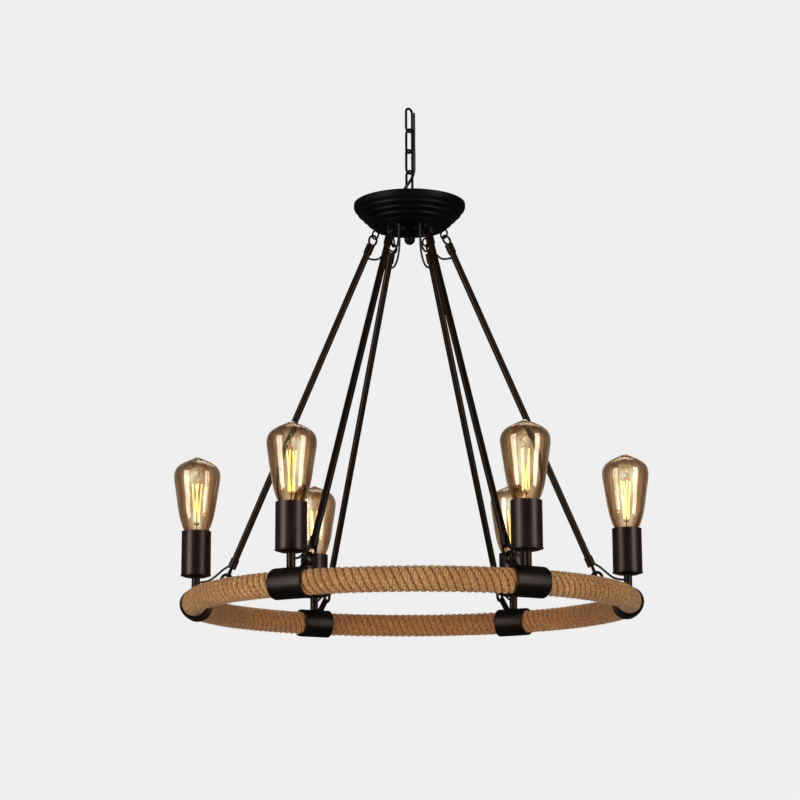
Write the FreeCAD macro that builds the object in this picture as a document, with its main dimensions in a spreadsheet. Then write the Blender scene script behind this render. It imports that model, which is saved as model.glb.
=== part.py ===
import FreeCAD, Part
import Sketcher
import math
import os
import re

# Rope ring chandelier: a rope-wound steel ring hung by six rods from a small hub on a chain,
# with six upright lamps on the ring. Millimetres, +Z up.
# The origin is the seat of the ceiling hook, inside the crown of the top chain link.

Vector = FreeCAD.Vector
Rotation = FreeCAD.Rotation
Placement = FreeCAD.Placement

UP = Vector(0, 0, 1)
ALONG_X = Vector(1, 0, 0)
ALONG_Y = Vector(0, 1, 0)

LAMPS = 6
STRANDS = 4
STRAND_TURNS = 5.5
BIARCS = 22
CHAIN_LINKS = 4
FILAMENTS = 6
QUARTER_TURN = 90
HALF_TURN = 180
FULL_TURN = 360
# The chain's links stand at half a right angle to the radial planes of the side lamps.
LINK_TURN = 45
EYE_TURN = 45

# Driving dimensions, in millimetres.
SIZES = {
    # ring and its rope
    "ring_radius": 296.0,
    "tube_radius": 7.4,
    "tube_wall": 1.2,
    "strand_diameter": 8.7,
    "strand_seat_gap": 0.6,
    "strand_run_out": 14.0,
    # bands over the joints of the rope, each with its lug for a rod
    "band_radius": 20.0,
    "band_length": 48.0,
    "band_wall": 2.9,
    "band_web": 15.0,
    "band_corner": 1.6,
    "lug_inset": 42.3,
    "lug_rise": 35.3,
    "lug_wire": 4.2,
    "lug_hole": 10.0,
    "lug_shank": 8.5,
    # lamp posts
    "post_radius": 5.8,
    "post_height": 18.3,
    "post_spigot_radius": 4.85,
    "post_bore_radius": 3.0,
    "post_foot": 10.0,
    "post_neck": 14.0,
    # socket cups
    "cup_radius": 20.2,
    "cup_lip_radius": 20.9,
    "cup_height": 64.0,
    "cup_wall": 1.0,
    "cup_dish": 2.6,
    "cup_lip": 1.2,
    # lampholders and their screw shells
    "holder_radius": 17.2,
    "holder_height": 50.3,
    "holder_floor": 23.3,
    "holder_boss_radius": 10.0,
    "holder_boss": 4.4,
    "shell_inner_radius": 13.6,
    "shell_wall": 0.5,
    "shell_length": 26.0,
    # bulbs
    "base_radius": 13.2,
    "base_length": 25.0,
    "base_wall": 0.8,
    "base_contact_radius": 4.6,
    "base_contact": 1.6,
    "base_insulator": 4.6,
    "bulb_radius": 32.0,
    "bulb_length": 143.6,
    "neck_radius": 12.0,
    "neck_overlap": 5.0,
    "glass_wall": 1.0,
    "stem_radius": 3.6,
    "stem_height": 30.0,
    "stem_flange": 1.4,
    "support_radius": 0.6,
    "filament_radius": 1.1,
    "filament_length": 58.0,
    "filament_top_radius": 11.0,
    "filament_foot_radius": 5.6,
    "filament_wire_radius": 0.5,
    # rods and their eyes
    "rod_radius": 4.7,
    "rod_wall": 1.0,
    "rod_eye_wire": 3.2,
    "rod_eye_hole": 10.6,
    "ferrule_radius": 5.9,
    "ferrule_length": 14.0,
    "ferrule_depth": 9.0,
    # hub
    "hub_rise": 568.0,
    "pan_radius": 79.0,
    "pan_height": 36.0,
    "pan_wall": 1.4,
    "cover_inset": 1.5,
    "cover_thickness": 1.5,
    "nipple_radius": 4.9,
    "nipple_bore_radius": 3.4,
    "nut_radius": 8.6,
    "nut_height": 4.0,
    "finial_radius": 18.5,
    "finial_flange": 4.2,
    "finial_cone": 6.4,
    "finial_neck_radius": 7.0,
    "finial_ball_radius": 7.7,
    "finial_ball_drop": 4.6,
    "loop_radius": 8.0,
    "loop_wire": 4.0,
    "loop_collar_radius": 8.0,
    "loop_collar": 5.4,
    "loop_seat_rise": 3.1,
    "eye_circle_radius": 48.5,
    "eye_drop": 43.6,
    "eye_wire": 2.6,
    "eye_hole": 10.0,
    "eye_shank_radius": 1.9,
    "eye_shank_length": 13.0,
    "eye_nut_radius": 3.7,
    "eye_nut_height": 3.2,
    "eye_clearance": 0.8,
    # chain
    "link_wire": 3.5,
    "link_width": 15.5,
    "link_pitch": 31.0,
    "link_clearance": 0.3,
    # cords
    "flex_diameter": 4.2,
    "flex_hole_radius": 2.5,
    "lead_diameter": 3.0,
    "lead_hole_radius": 1.8,
    "hub_lead_inset": 18.5,
    "hub_lead_drop": 30.5,
    "hub_lead_reach": 27.0,
    "lamp_lead_reach": 13.2,
    "lamp_lead_inset": 3.6,
    "lamp_lead_rise": 32.0,
    # fits
    "seat_gap": 0.1,
    "thread_gap": 0.15,
    "cutter_overrun": 12.0,
}

# Outlines, as shares of the sizes that they follow.
# Underside of the hub pan, from the central hole out to the rim: three rounded steps.
PAN_OUTLINE_SHARES = [
    (0.304, 0.010),
    (0.554, 0.045),
    (0.664, 0.045),
    (0.681, 0.100),
    (0.757, 0.220),
    (0.767, 0.280),
    (0.841, 0.400),
    (0.851, 0.465),
    (0.924, 0.585),
    (0.934, 0.655),
    (0.982, 0.765),
    (1.000, 0.850),
]
# Inside of the same pan.
PAN_INSIDE_SHARES = [
    (0.974, 0.780),
    (0.694, 0.125),
    (0.674, 0.045),
    (0.554, 0.045),
    (0.304, 0.010),
]
# Bulb glass above its neck: share of the bulb's radius, and share of the glass's height.
GLASS_OUTLINE_SHARES = [
    (0.385, 0.050),
    (0.420, 0.088),
    (0.475, 0.134),
    (0.550, 0.178),
    (0.630, 0.227),
    (0.745, 0.328),
    (0.830, 0.450),
    (0.880, 0.540),
    (0.938, 0.640),
    (1.000, 0.757),
    (0.975, 0.822),
    (0.895, 0.865),
    (0.769, 0.898),
    (0.600, 0.927),
    (0.400, 0.952),
    (0.200, 0.975),
    (0.080, 0.991),
]
CUP_FLOOR_SHARE = 0.69
CUP_FLOOR_RISE_SHARE = 0.12
STEM_NECK_SHARE = 0.24
LEDGE_SHARE = 0.957

# Routes of the cords.
# A lead of one lamp lies in the lamp's upright plane. Each point: share of the way out from the lead's
# first end to its last, and share of the way down.
LAMP_LEAD_SHARES = [
    (0, 0),
    (0.219, 0.171),
    (0.443, 0.569),
    (0.728, 1),
    (1, 1),
]
HUB_LEAD_SHARES = [
    (0, 0),
    (-0.030, 0.339),
    (0.045, 0.678),
    (0.248, 0.962),
    (0.582, 1.107),
    (1, 1),
]
# The supply flex beside the chain, from the top down into the hub: x, y, and height.
FLEX_ROUTE = [
    (6.6, 0.3, -5.0),
    (6.9, -0.2, -26.0),
    (6.7, 0.3, -50.0),
    (7.0, 0.2, -76.0),
    (6.8, 1.0, -98.0),
    (-8.5, -1.0, -120.0),
    (-12.5, -2.2, -135.0),
    (-13.0, -2.6, -147.0),
]

doc = FreeCAD.newDocument("rope_ring_chandelier")
sheet = doc.addObject("Spreadsheet::Sheet", "Sizes")
for row, (alias, number) in enumerate(SIZES.items(), start=1):
    sheet.set("A%d" % row, alias)
    sheet.set("B%d" % row, str(number))
    sheet.setAlias("B%d" % row, alias)
doc.recompute()

sub_parts = {}


def size(alias):
    """The driving dimension of that name, as a number."""
    return float(sheet.get(alias))


def cells(text):
    """The expression with each driving dimension written as its cell of the sheet."""

    def cell(word):
        return "Sizes." + word.group() if word.group() in SIZES else word.group()

    return re.sub(r"[a-z][a-z_]+", cell, text)


def bind(thing, **formulas):
    """Binds properties of an object to expressions over the sheet."""
    for name, text in formulas.items():
        thing.setExpression(name, cells(text))
    return thing


def keep(thing, label):
    """Marks an object as a sub-part of its own."""
    thing.Label = label
    sub_parts[label] = thing
    return thing


def around(index, place=None):
    """The placement turned to the lamp of that number."""
    turn = Placement(Vector(0, 0, 0), Rotation(UP, index * FULL_TURN / LAMPS))
    return turn.multiply(place) if place else turn


def group(label, pieces):
    """One sub-part made of separate solids."""
    whole = doc.addObject("Part::Compound", label)
    whole.Links = pieces
    return keep(whole, label)


def cylinder(name, radius, height, place):
    return placed(bind(doc.addObject("Part::Cylinder", name), Radius=radius, Height=height), place)


def torus(name, radius, wire_radius, place, turn=FULL_TURN):
    ring = bind(doc.addObject("Part::Torus", name), Radius1=radius, Radius2=wire_radius)
    ring.Angle3 = turn
    return placed(ring, place)


def placed(thing, place):
    thing.Placement = place
    return thing


def fuse(name, pieces):
    whole = doc.addObject("Part::MultiFuse", name)
    whole.Shapes = pieces
    return whole


def cut(name, base, cutters):
    """The base without its cutters."""
    tool = cutters[0]
    if len(cutters) > 1:
        tool = doc.addObject("Part::Compound", name + "_cutters")
        tool.Links = cutters
    whole = doc.addObject("Part::Cut", name)
    whole.Base = base
    whole.Tool = tool
    return whole


def turned(name, outline, place):
    """A body turned about its own upright axis. The outline holds (radius, height) as expressions."""
    body = doc.addObject("PartDesign::Body", name)
    sketch = body.newObject("Sketcher::SketchObject", name + "_outline")
    plane = [part for part in body.Origin.OriginFeatures if part.Role == "XZ_Plane"][0]
    sketch.AttachmentSupport = [(plane, "")]
    sketch.MapMode = "FlatFace"
    count = len(outline)
    rough = []
    for step in range(count):
        angle = 2 * math.pi * step / count
        rough.append(Vector(2 + math.cos(angle), 2 + math.sin(angle), 0))
    for step in range(count):
        sketch.addGeometry(Part.LineSegment(rough[step], rough[(step + 1) % count]), False)
    for step in range(count):
        sketch.addConstraint(Sketcher.Constraint("Coincident", step, 2, (step + 1) % count, 1))
    for step, (radius, height) in enumerate(outline):
        for axis, kind, text in ((-2, "DistanceX", radius), (-1, "DistanceY", height)):
            if text == "0":
                sketch.addConstraint(Sketcher.Constraint("PointOnObject", step, 1, axis))
            else:
                mark = sketch.addConstraint(Sketcher.Constraint(kind, -1, 1, step, 1, 1.0))
                sketch.setExpression("Constraints[%d]" % mark, cells(text))
    spin = body.newObject("PartDesign::Revolution", name + "_turned")
    spin.Profile = sketch
    spin.ReferenceAxis = (sketch, ["V_Axis"])
    spin.Angle = FULL_TURN
    body.Tip = spin
    return placed(body, place)


def feature(name, shape, place=None):
    """A sub-part whose shape comes from a formula."""
    thing = doc.addObject("Part::Feature", name)
    thing.Shape = shape
    if place:
        thing.Placement = place
    return thing


def arc_between(start, corner, end):
    """The arc from start to end that is tangent to both legs of the corner, which are of one length."""
    middle = (start + end) * 0.5
    half_chord = (end - start).Length / 2
    height = (corner - middle).Length
    rise = half_chord * math.tan(math.atan2(height, half_chord) / 2)
    return Part.Arc(start, middle + (corner - middle).normalize() * rise, end).toShape()


def tube(path_edges, diameter):
    """A round solid tube along a tangent chain of edges."""
    path = Part.Wire(path_edges)
    start = path_edges[0].valueAt(path_edges[0].FirstParameter)
    along = path_edges[0].tangentAt(path_edges[0].FirstParameter)
    ring = Part.Wire([Part.Circle(start, along, diameter / 2).toShape()])
    return path.makePipeShell([ring], True, False)


def rounded_route(points, name, diameter):
    """Straight runs joined by arcs, each as large as its two runs allow."""
    reach_share = 0.45
    edges = []
    radii = []
    here = points[0]
    for before, corner, after in zip(points, points[1:], points[2:]):
        reach = reach_share * min((corner - before).Length, (after - corner).Length)
        first = corner + (before - corner).normalize() * reach
        last = corner + (after - corner).normalize() * reach
        half = (corner - before).getAngle(after - corner) / 2
        radii.append(reach / math.tan(half))
        edges.append(Part.LineSegment(here, first).toShape())
        edges.append(arc_between(first, corner, last))
        here = last
    edges.append(Part.LineSegment(here, points[-1]).toShape())
    length = sum(edge.Length for edge in edges)
    print("%s: length %.1f, diameter %.1f, bend radii %s" % (
        name, length, diameter, ", ".join("%.1f" % radius for radius in radii)))
    return edges


def cord(points, name, diameter):
    """The tube of a cord, with its volume compared with its section times its length."""
    edges = rounded_route(points, name, diameter)
    solid = tube(edges, diameter)
    expected = math.pi * diameter ** 2 / 4 * sum(edge.Length for edge in edges)
    print("%s: volume over section times length %.4f" % (name, solid.Volume / expected))
    return solid


def hole_along(name, start, end, radius):
    """A cutter along a cord's end run, a little longer than the run on the far side of its end."""
    length = (end - start).Length
    place = Placement(start, Rotation(UP, end - start))
    cutter = cylinder(name, radius, "cutter_overrun", place)
    cutter.setExpression("Height", "%f" % length)
    return cutter


# Heights along the chain.
link_reach = size("link_pitch") + size("link_wire") + size("link_clearance")
first_seat = size("link_wire") / 2 - link_reach
last_seat = first_seat - (CHAIN_LINKS - 1) * size("link_pitch")
loop_top = last_seat + (size("link_wire") + size("loop_wire")) / 2 + size("link_clearance")
loop_centre = loop_top - size("loop_radius")
hub_top = loop_centre - size("loop_radius") - size("loop_seat_rise")
ring_level = hub_top - size("hub_rise")

# Rods: the line from each hub eye to the lug eye of its band sets their lean and length.
eye_height = hub_top - size("eye_drop")
eye_radius = (size("eye_hole") + size("eye_wire")) / 2
lug_eye = Vector(size("ring_radius") - size("lug_inset"), 0, ring_level + size("lug_rise"))
hub_eye = Vector(size("eye_circle_radius"), 0, eye_height)
pull = (lug_eye - hub_eye).normalize()
rod_eye_radius = (size("rod_eye_hole") + size("rod_eye_wire")) / 2
lug_radius = (size("lug_hole") + size("lug_wire")) / 2
upper_hang = (size("eye_hole") + size("rod_eye_hole")) / 2 - size("eye_clearance")
lower_hang = (size("lug_hole") + size("rod_eye_hole")) / 2 - size("link_clearance")
top_eye = hub_eye + pull * upper_hang
low_eye = lug_eye - pull * lower_hang
lean = Rotation(UP, top_eye - low_eye)
span = (top_eye - low_eye).Length
ferrule_end = rod_eye_radius + size("ferrule_length")
tube_start = ferrule_end - size("ferrule_depth") + size("seat_gap")


def lead_route(start, end, shares):
    """The points of a lead between its two ends."""
    return [start + Vector((end.x - start.x) * out, 0, (end.z - start.z) * down) for out, down in shares]


# Leads: from inside the pan into the top of a rod, and from the lower ferrule into a lamp's post.
hub_lead_points = lead_route(
    Vector(size("eye_circle_radius") - size("hub_lead_inset"), 0, hub_top - size("hub_lead_drop")),
    top_eye + pull * size("hub_lead_reach"), HUB_LEAD_SHARES)
lamp_lead_points = lead_route(
    low_eye - pull * size("lamp_lead_reach"),
    Vector(size("ring_radius") - size("lamp_lead_inset"), 0, ring_level + size("lamp_lead_rise")),
    LAMP_LEAD_SHARES)


def chain_link(name, bottom, turn):
    """A link of round wire whose lower end has its wire's centre at that height."""
    bend = "(link_width - link_wire) / 2"
    wire = "link_wire / 2"
    side = "link_pitch + 2 * link_wire + link_clearance - link_width"
    plane = Rotation(UP, turn)
    flat = plane.multiply(Rotation(ALONG_X, QUARTER_TURN))
    half_width = (size("link_width") - size("link_wire")) / 2
    straight = link_reach - 2 * half_width
    low = Vector(0, 0, bottom + half_width)
    high = Vector(0, 0, bottom + half_width + straight)
    pieces = [
        torus(name + "_lower_bend", bend, wire, Placement(low, flat.multiply(Rotation(UP, HALF_TURN))),
              HALF_TURN),
        torus(name + "_upper_bend", bend, wire, Placement(high, flat), HALF_TURN),
    ]
    for side_name, sign in (("left", -1), ("right", 1)):
        offset = plane.multVec(ALONG_X * (sign * half_width))
        pieces.append(cylinder(name + "_" + side_name, wire, side, Placement(low + offset, Rotation())))
    return fuse(name, pieces)


# Chain: each link is turned a quarter turn to the one that holds it.
keep(chain_link("top_link", first_seat, LINK_TURN), "top_link")
keep(chain_link("second_link", first_seat - size("link_pitch"), LINK_TURN + QUARTER_TURN), "second_link")
lower_links = []
for number in range(2, CHAIN_LINKS):
    turn = LINK_TURN + number * QUARTER_TURN
    lower_links.append(chain_link("lower_link_%d" % number, first_seat - number * size("link_pitch"), turn))
group("lower_links", lower_links)

# Hub loop: a ring on a threaded collar.
ring_plane = Rotation(UP, LINK_TURN).multiply(Rotation(ALONG_X, QUARTER_TURN))
loop_ring = torus("loop_ring", "loop_radius", "loop_wire / 2",
                  Placement(Vector(0, 0, loop_centre), ring_plane))
loop_collar = cylinder("loop_collar", "loop_collar_radius", "loop_collar",
                       Placement(Vector(0, 0, hub_top + size("seat_gap")), Rotation()))
loop_bore = cylinder("loop_bore", "nipple_radius + thread_gap", "loop_collar - nut_height / 4 + seat_gap",
                     Placement(Vector(0, 0, hub_top), Rotation()))
keep(cut("hub_loop", fuse("loop_blank", [loop_ring, loop_collar]), [loop_bore]), "hub_loop")

# Hub pan: a thin turned dish with three steps, open at the top and closed by a flat cover.
cover_edge = "pan_radius - cover_inset"
pan_floor = hub_top - size("pan_height")
pan_hole = "nipple_radius + thread_gap"
pan_outline = [(pan_hole, "0")]
pan_outline += [("%g * pan_radius" % wide, "%g * pan_height" % high) for wide, high in PAN_OUTLINE_SHARES]
pan_outline += [
    ("pan_radius", "pan_height"),
    (cover_edge + " + seat_gap", "pan_height"),
    (cover_edge + " + seat_gap", "pan_height - cover_thickness - seat_gap"),
    ("%g * pan_radius" % LEDGE_SHARE, "pan_height - cover_thickness - seat_gap"),
    ("%g * pan_radius" % LEDGE_SHARE, "%g * pan_height" % PAN_INSIDE_SHARES[0][1]),
]
pan_outline += [
    ("%g * pan_radius - pan_wall / 2" % wide, "%g * pan_height + pan_wall" % high)
    for wide, high in PAN_INSIDE_SHARES[1:]
]
pan_outline += [(pan_hole, "pan_wall")]
pan_blank = turned("pan_blank", pan_outline, Placement(Vector(0, 0, pan_floor), Rotation()))
pan_cutters = []
for index in range(LAMPS):
    bolt_place = around(index, Placement(Vector(size("eye_circle_radius"), 0, eye_height), Rotation()))
    pan_cutters.append(cylinder("bolt_hole_%d" % (index + 1), "eye_shank_radius + thread_gap",
                                "eye_hole + eye_shank_length + cutter_overrun", bolt_place))
    lead_place = Placement(hub_lead_points[1], Rotation(UP, hub_lead_points[0] - hub_lead_points[1]))
    pan_cutters.append(cylinder("lead_hole_%d" % (index + 1), "lead_hole_radius",
                                "eye_shank_length + cutter_overrun / 2", around(index, lead_place)))
keep(cut("hub_pan", pan_blank, pan_cutters), "hub_pan")

# Cover plate on the pan's ledge, with a hole for the nipple and one for the flex.
cover_outline = [
    (pan_hole, "0"),
    (cover_edge, "0"),
    (cover_edge, "cover_thickness"),
    (pan_hole, "cover_thickness"),
]
cover_level = hub_top - size("cover_thickness")
cover_blank = turned("cover_blank", cover_outline, Placement(Vector(0, 0, cover_level), Rotation()))
flex_end = Vector(*FLEX_ROUTE[-1])
flex_last = Vector(*FLEX_ROUTE[-2])
flex_way = (flex_end - flex_last).normalize()
flex_cutter = cylinder("flex_hole", "flex_hole_radius", "cutter_overrun * 2",
                       Placement(flex_end - flex_way * size("cutter_overrun"), Rotation(UP, flex_way)))
keep(cut("hub_cover", cover_blank, [flex_cutter]), "hub_cover")

# Threaded nipple down the middle of the hub, with a lock nut on the pan's floor.
nipple_length = "pan_height + finial_flange + loop_collar - nut_height / 2"
nipple_outline = [
    ("nipple_bore_radius", "0"),
    ("nipple_radius", "0"),
    ("nipple_radius", nipple_length),
    ("nipple_bore_radius", nipple_length),
]
nipple_base = pan_floor - size("finial_flange")
nipple = turned("nipple", nipple_outline, Placement(Vector(0, 0, nipple_base), Rotation()))
nut_level = pan_floor + size("pan_wall") + size("seat_gap")
nut_blank = placed(bind(doc.addObject("Part::Prism", "nut_blank"), Circumradius="nut_radius",
                        Height="nut_height"), Placement(Vector(0, 0, nut_level), Rotation()))
nut_bore = cylinder("nut_bore", pan_hole, "cutter_overrun", Placement(Vector(0, 0, nut_level), Rotation()))
group("hub_nipple", [nipple, cut("lock_nut", nut_blank, [nut_bore])])

# Finial under the pan: flange, cone and ball on the nipple's lower end.
finial_top = pan_floor - size("seat_gap")
flange_level = finial_top - size("finial_flange")
cone_level = flange_level - size("finial_cone")
finial_flange = cylinder("finial_flange_disc", "finial_radius", "finial_flange",
                         Placement(Vector(0, 0, flange_level), Rotation()))
finial_cone = placed(bind(doc.addObject("Part::Cone", "finial_cone_piece"), Radius1="finial_neck_radius",
                          Radius2="finial_radius", Height="finial_cone"),
                     Placement(Vector(0, 0, cone_level), Rotation()))
finial_ball = placed(bind(doc.addObject("Part::Sphere", "finial_ball"), Radius="finial_ball_radius"),
                     Placement(Vector(0, 0, cone_level - size("finial_ball_drop")), Rotation()))
finial_bore = cylinder("finial_bore", pan_hole, "finial_flange + cutter_overrun",
                       Placement(Vector(0, 0, nipple_base - size("seat_gap")), Rotation()))
finial_blank = fuse("finial_blank", [finial_flange, finial_cone, finial_ball])
keep(cut("finial", finial_blank, [finial_bore]), "finial")

# Six eye bolts under the pan and their nuts inside it.
pan_seat = pan_floor + PAN_INSIDE_SHARES[-2][1] * size("pan_height") + size("pan_wall") + size("seat_gap")
eye_bolts = []
eye_nuts = []
for index in range(LAMPS):
    tag = "%d" % (index + 1)
    centre = Vector(size("eye_circle_radius"), 0, eye_height)
    eye_plane = Rotation(UP, -EYE_TURN).multiply(Rotation(ALONG_X, QUARTER_TURN))
    ring = torus("hub_eye_" + tag, "(eye_hole + eye_wire) / 2", "eye_wire / 2",
                 around(index, Placement(centre, eye_plane)))
    shank_place = Placement(centre + UP * eye_radius, Rotation())
    shank = cylinder("hub_shank_" + tag, "eye_shank_radius", "eye_shank_length", around(index, shank_place))
    eye_bolts.append(fuse("hub_eye_bolt_" + tag, [ring, shank]))
    seat = around(index, Placement(Vector(size("eye_circle_radius"), 0, pan_seat), Rotation()))
    blank = bind(doc.addObject("Part::Prism", "eye_nut_blank_" + tag), Circumradius="eye_nut_radius",
                 Height="eye_nut_height")
    bore = cylinder("eye_nut_bore_" + tag, "eye_shank_radius + thread_gap", "cutter_overrun", seat)
    eye_nuts.append(cut("eye_nut_" + tag, placed(blank, seat), [bore]))
group("hub_eye_bolts", eye_bolts)
group("hub_eye_nuts", eye_nuts)

# Rods, each between two wire eyes on ferrules.

def rod_eye(name, place, extra):
    """A wire eye on a ferrule that takes the rod's end, standing along +Z from the eye's centre."""
    ring = torus(name + "_ring", "(rod_eye_hole + rod_eye_wire) / 2", "rod_eye_wire / 2",
                 place.multiply(Placement(Vector(0, 0, 0), Rotation(ALONG_X, QUARTER_TURN))))
    collar = cylinder(name + "_ferrule", "ferrule_radius", "ferrule_length",
                      place.multiply(Placement(UP * rod_eye_radius, Rotation())))
    bore = cylinder(name + "_bore", "rod_radius + thread_gap", "ferrule_depth + cutter_overrun",
                    place.multiply(Placement(UP * (ferrule_end - size("ferrule_depth")), Rotation())))
    return cut(name, fuse(name + "_blank", [ring, collar]), [bore] + extra)


rod_eyes = []
mouth_way = hub_lead_points[-1] - hub_lead_points[-2]
for index in range(LAMPS):
    tag = "%d" % (index + 1)
    low_place = around(index, Placement(low_eye, lean))
    outer = cylinder("rod_outside_" + tag, "rod_radius", "rod_eye_hole",
                     low_place.multiply(Placement(UP * tube_start, Rotation())))
    outer.setExpression("Height", "%.6f" % (span - 2 * tube_start))
    inner = cylinder("rod_inside_" + tag, "rod_radius - rod_wall", "rod_eye_hole",
                     low_place.multiply(Placement(UP * (tube_start - size("cutter_overrun")), Rotation())))
    inner.setExpression("Height", "%.6f" % (span + 2 * size("cutter_overrun") - 2 * tube_start))
    mouth = hole_along("rod_mouth_" + tag, Vector(0, 0, 0), mouth_way, "lead_hole_radius")
    mouth.Placement = around(index, Placement(hub_lead_points[-2], Rotation(UP, mouth_way)))
    keep(cut("rod_" + tag, outer, [inner, mouth]), "rod_" + tag)
    lead_way = lamp_lead_points[1] - lamp_lead_points[0]
    side_hole = cylinder("ferrule_mouth_" + tag, "lead_hole_radius", "cutter_overrun",
                         around(index, Placement(lamp_lead_points[0], Rotation(UP, lead_way))))
    low_turn = low_place.multiply(Placement(Vector(0, 0, 0), Rotation(UP, QUARTER_TURN)))
    rod_eyes.append(rod_eye("lower_eye_" + tag, low_turn, [side_hole]))
    top_place = around(index, Placement(top_eye, lean))
    top_twist = Rotation(UP, EYE_TURN).multiply(Rotation(ALONG_X, HALF_TURN))
    top_turn = top_place.multiply(Placement(Vector(0, 0, 0), top_twist))
    rod_eyes.append(rod_eye("upper_eye_" + tag, top_turn, []))
group("rod_eyes", rod_eyes)

# Ring tube: one closed ring of steel tube, drilled for the six posts.
ring_place = Placement(Vector(0, 0, ring_level), Rotation())
seam_place = Placement(Vector(0, 0, ring_level), Rotation(UP, FULL_TURN / LAMPS / 2))
ring_outside = torus("ring_outside", "ring_radius", "tube_radius", seam_place)
ring_inside = torus("ring_inside", "ring_radius", "tube_radius - tube_wall", seam_place)
post_holes = []
for index in range(LAMPS):
    hole_place = around(index, Placement(Vector(size("ring_radius"), 0, ring_level), Rotation()))
    post_holes.append(cylinder("tube_hole_%d" % (index + 1), "post_spigot_radius + thread_gap",
                               "tube_radius + cutter_overrun", hole_place))
keep(cut("ring_tube", cut("ring_pipe", ring_outside, [ring_inside]), post_holes), "ring_tube")


def arc_degrees(length):
    """The angle of that length along the ring's centreline."""
    return math.degrees(length / size("ring_radius"))


def band(index):
    """A sleeve over the rope's ends, solid round the tube at its middle, with a rod's lug inside it."""
    tag = "%d" % (index + 1)
    whole_turn = arc_degrees(size("band_length"))
    web_turn = arc_degrees(size("band_web"))
    side_turn = arc_degrees(size("band_length") / 2)

    def segment(name, radius, start, turn):
        place = Placement(Vector(0, 0, ring_level), Rotation(UP, start))
        return torus(name, "ring_radius", radius, around(index, place), turn)

    blank = segment("band_blank_" + tag, "band_radius", -whole_turn / 2, whole_turn)
    doc.recompute()
    rounded = doc.addObject("Part::Fillet", "band_rounded_" + tag)
    rounded.Base = blank
    corner = size("band_corner")
    ends = []
    for number, edge in enumerate(blank.Shape.Edges, start=1):
        if not hasattr(edge.Curve, "Radius"):
            continue
        if abs(edge.Curve.Radius - size("band_radius")) < size("seat_gap"):
            ends.append((number, corner, corner))
    rounded.Edges = ends
    lug_plane = Rotation(ALONG_X, QUARTER_TURN)
    lug_ring = torus("lug_ring_" + tag, "(lug_hole + lug_wire) / 2", "lug_wire / 2",
                     around(index, Placement(lug_eye, lug_plane)))
    centre = Vector(size("ring_radius"), 0, ring_level)
    shank_way = (centre - lug_eye).normalize()
    shank_length = (centre - lug_eye).Length - lug_radius - size("tube_radius") - size("band_wall")
    shank = cylinder("lug_shank_" + tag, "lug_shank / 2", "lug_rise",
                     around(index, Placement(lug_eye + shank_way * lug_radius, Rotation(UP, shank_way))))
    shank.setExpression("Height", "%.6f" % shank_length)
    body = fuse("band_with_lug_" + tag, [rounded, lug_ring, shank])
    sleeve = "band_radius - band_wall"
    cutters = [
        segment("band_bore_" + tag, "tube_radius + seat_gap", -whole_turn, 2 * whole_turn),
        segment("band_mouth_low_" + tag, sleeve, -web_turn / 2 - side_turn, side_turn),
        segment("band_mouth_high_" + tag, sleeve, web_turn / 2, side_turn),
        cylinder("band_hole_" + tag, "post_spigot_radius + thread_gap", "band_radius + cutter_overrun",
                 around(index, Placement(centre, Rotation()))),
    ]
    return keep(cut("band_" + tag, body, cutters), "band_" + tag)


for index in range(LAMPS):
    band(index)


def on_ring(index, height, turn=None):
    """A placement on the ring's centreline at a lamp, at that height over the ring."""
    return around(index, Placement(Vector(size("ring_radius"), 0, ring_level + height), turn or Rotation()))


# Lamp posts: a threaded tube with a thicker middle between the band and the cup.
post_outline = [
    ("post_bore_radius", "0"),
    ("post_spigot_radius", "0"),
    ("post_spigot_radius", "post_foot"),
    ("post_radius", "post_foot"),
    ("post_radius", "post_foot + post_height"),
    ("post_spigot_radius", "post_foot + post_height"),
    ("post_spigot_radius", "post_foot + post_height + post_neck"),
    ("post_bore_radius", "post_foot + post_height + post_neck"),
]
cup_level = size("band_radius") + size("seat_gap") + size("post_height")
posts = []
for index in range(LAMPS):
    tag = "%d" % (index + 1)
    post_base = size("band_radius") + size("seat_gap") - size("post_foot")
    blank = turned("post_blank_" + tag, post_outline, on_ring(index, post_base))
    last_run = lamp_lead_points[-1] - lamp_lead_points[-2]
    inlet = cylinder("post_inlet_" + tag, "lead_hole_radius", "cutter_overrun",
                     around(index, Placement(lamp_lead_points[-2], Rotation(UP, last_run))))
    inlet.setExpression("Height", "%.6f" % (last_run.Length + size("lead_hole_radius")))
    posts.append(cut("lamp_post_" + tag, blank, [inlet]))
group("lamp_posts", posts)

# Socket cups: a thin round shell with a shallow dished floor and a small lip round its lower edge.
cup_hole = "post_spigot_radius + thread_gap"
floor_radius = "%g * cup_radius" % CUP_FLOOR_SHARE
floor_rise = "%g * cup_dish" % CUP_FLOOR_RISE_SHARE
cup_outline = [
    (cup_hole, "0"),
    (floor_radius, floor_rise),
    ("cup_lip_radius", "cup_dish"),
    ("cup_lip_radius", "cup_dish + cup_lip"),
    ("cup_radius", "cup_dish + cup_lip + cup_lip_radius - cup_radius"),
    ("cup_radius", "cup_height"),
    ("cup_radius - cup_wall", "cup_height"),
    ("cup_radius - cup_wall", "cup_dish + cup_wall"),
    (floor_radius, "%g * cup_dish + cup_wall" % CUP_FLOOR_RISE_SHARE),
    (cup_hole, "cup_wall"),
]
for index in range(LAMPS):
    tag = "%d" % (index + 1)
    keep(turned("socket_cup_" + tag, cup_outline, on_ring(index, cup_level)), "socket_cup_" + tag)

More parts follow.
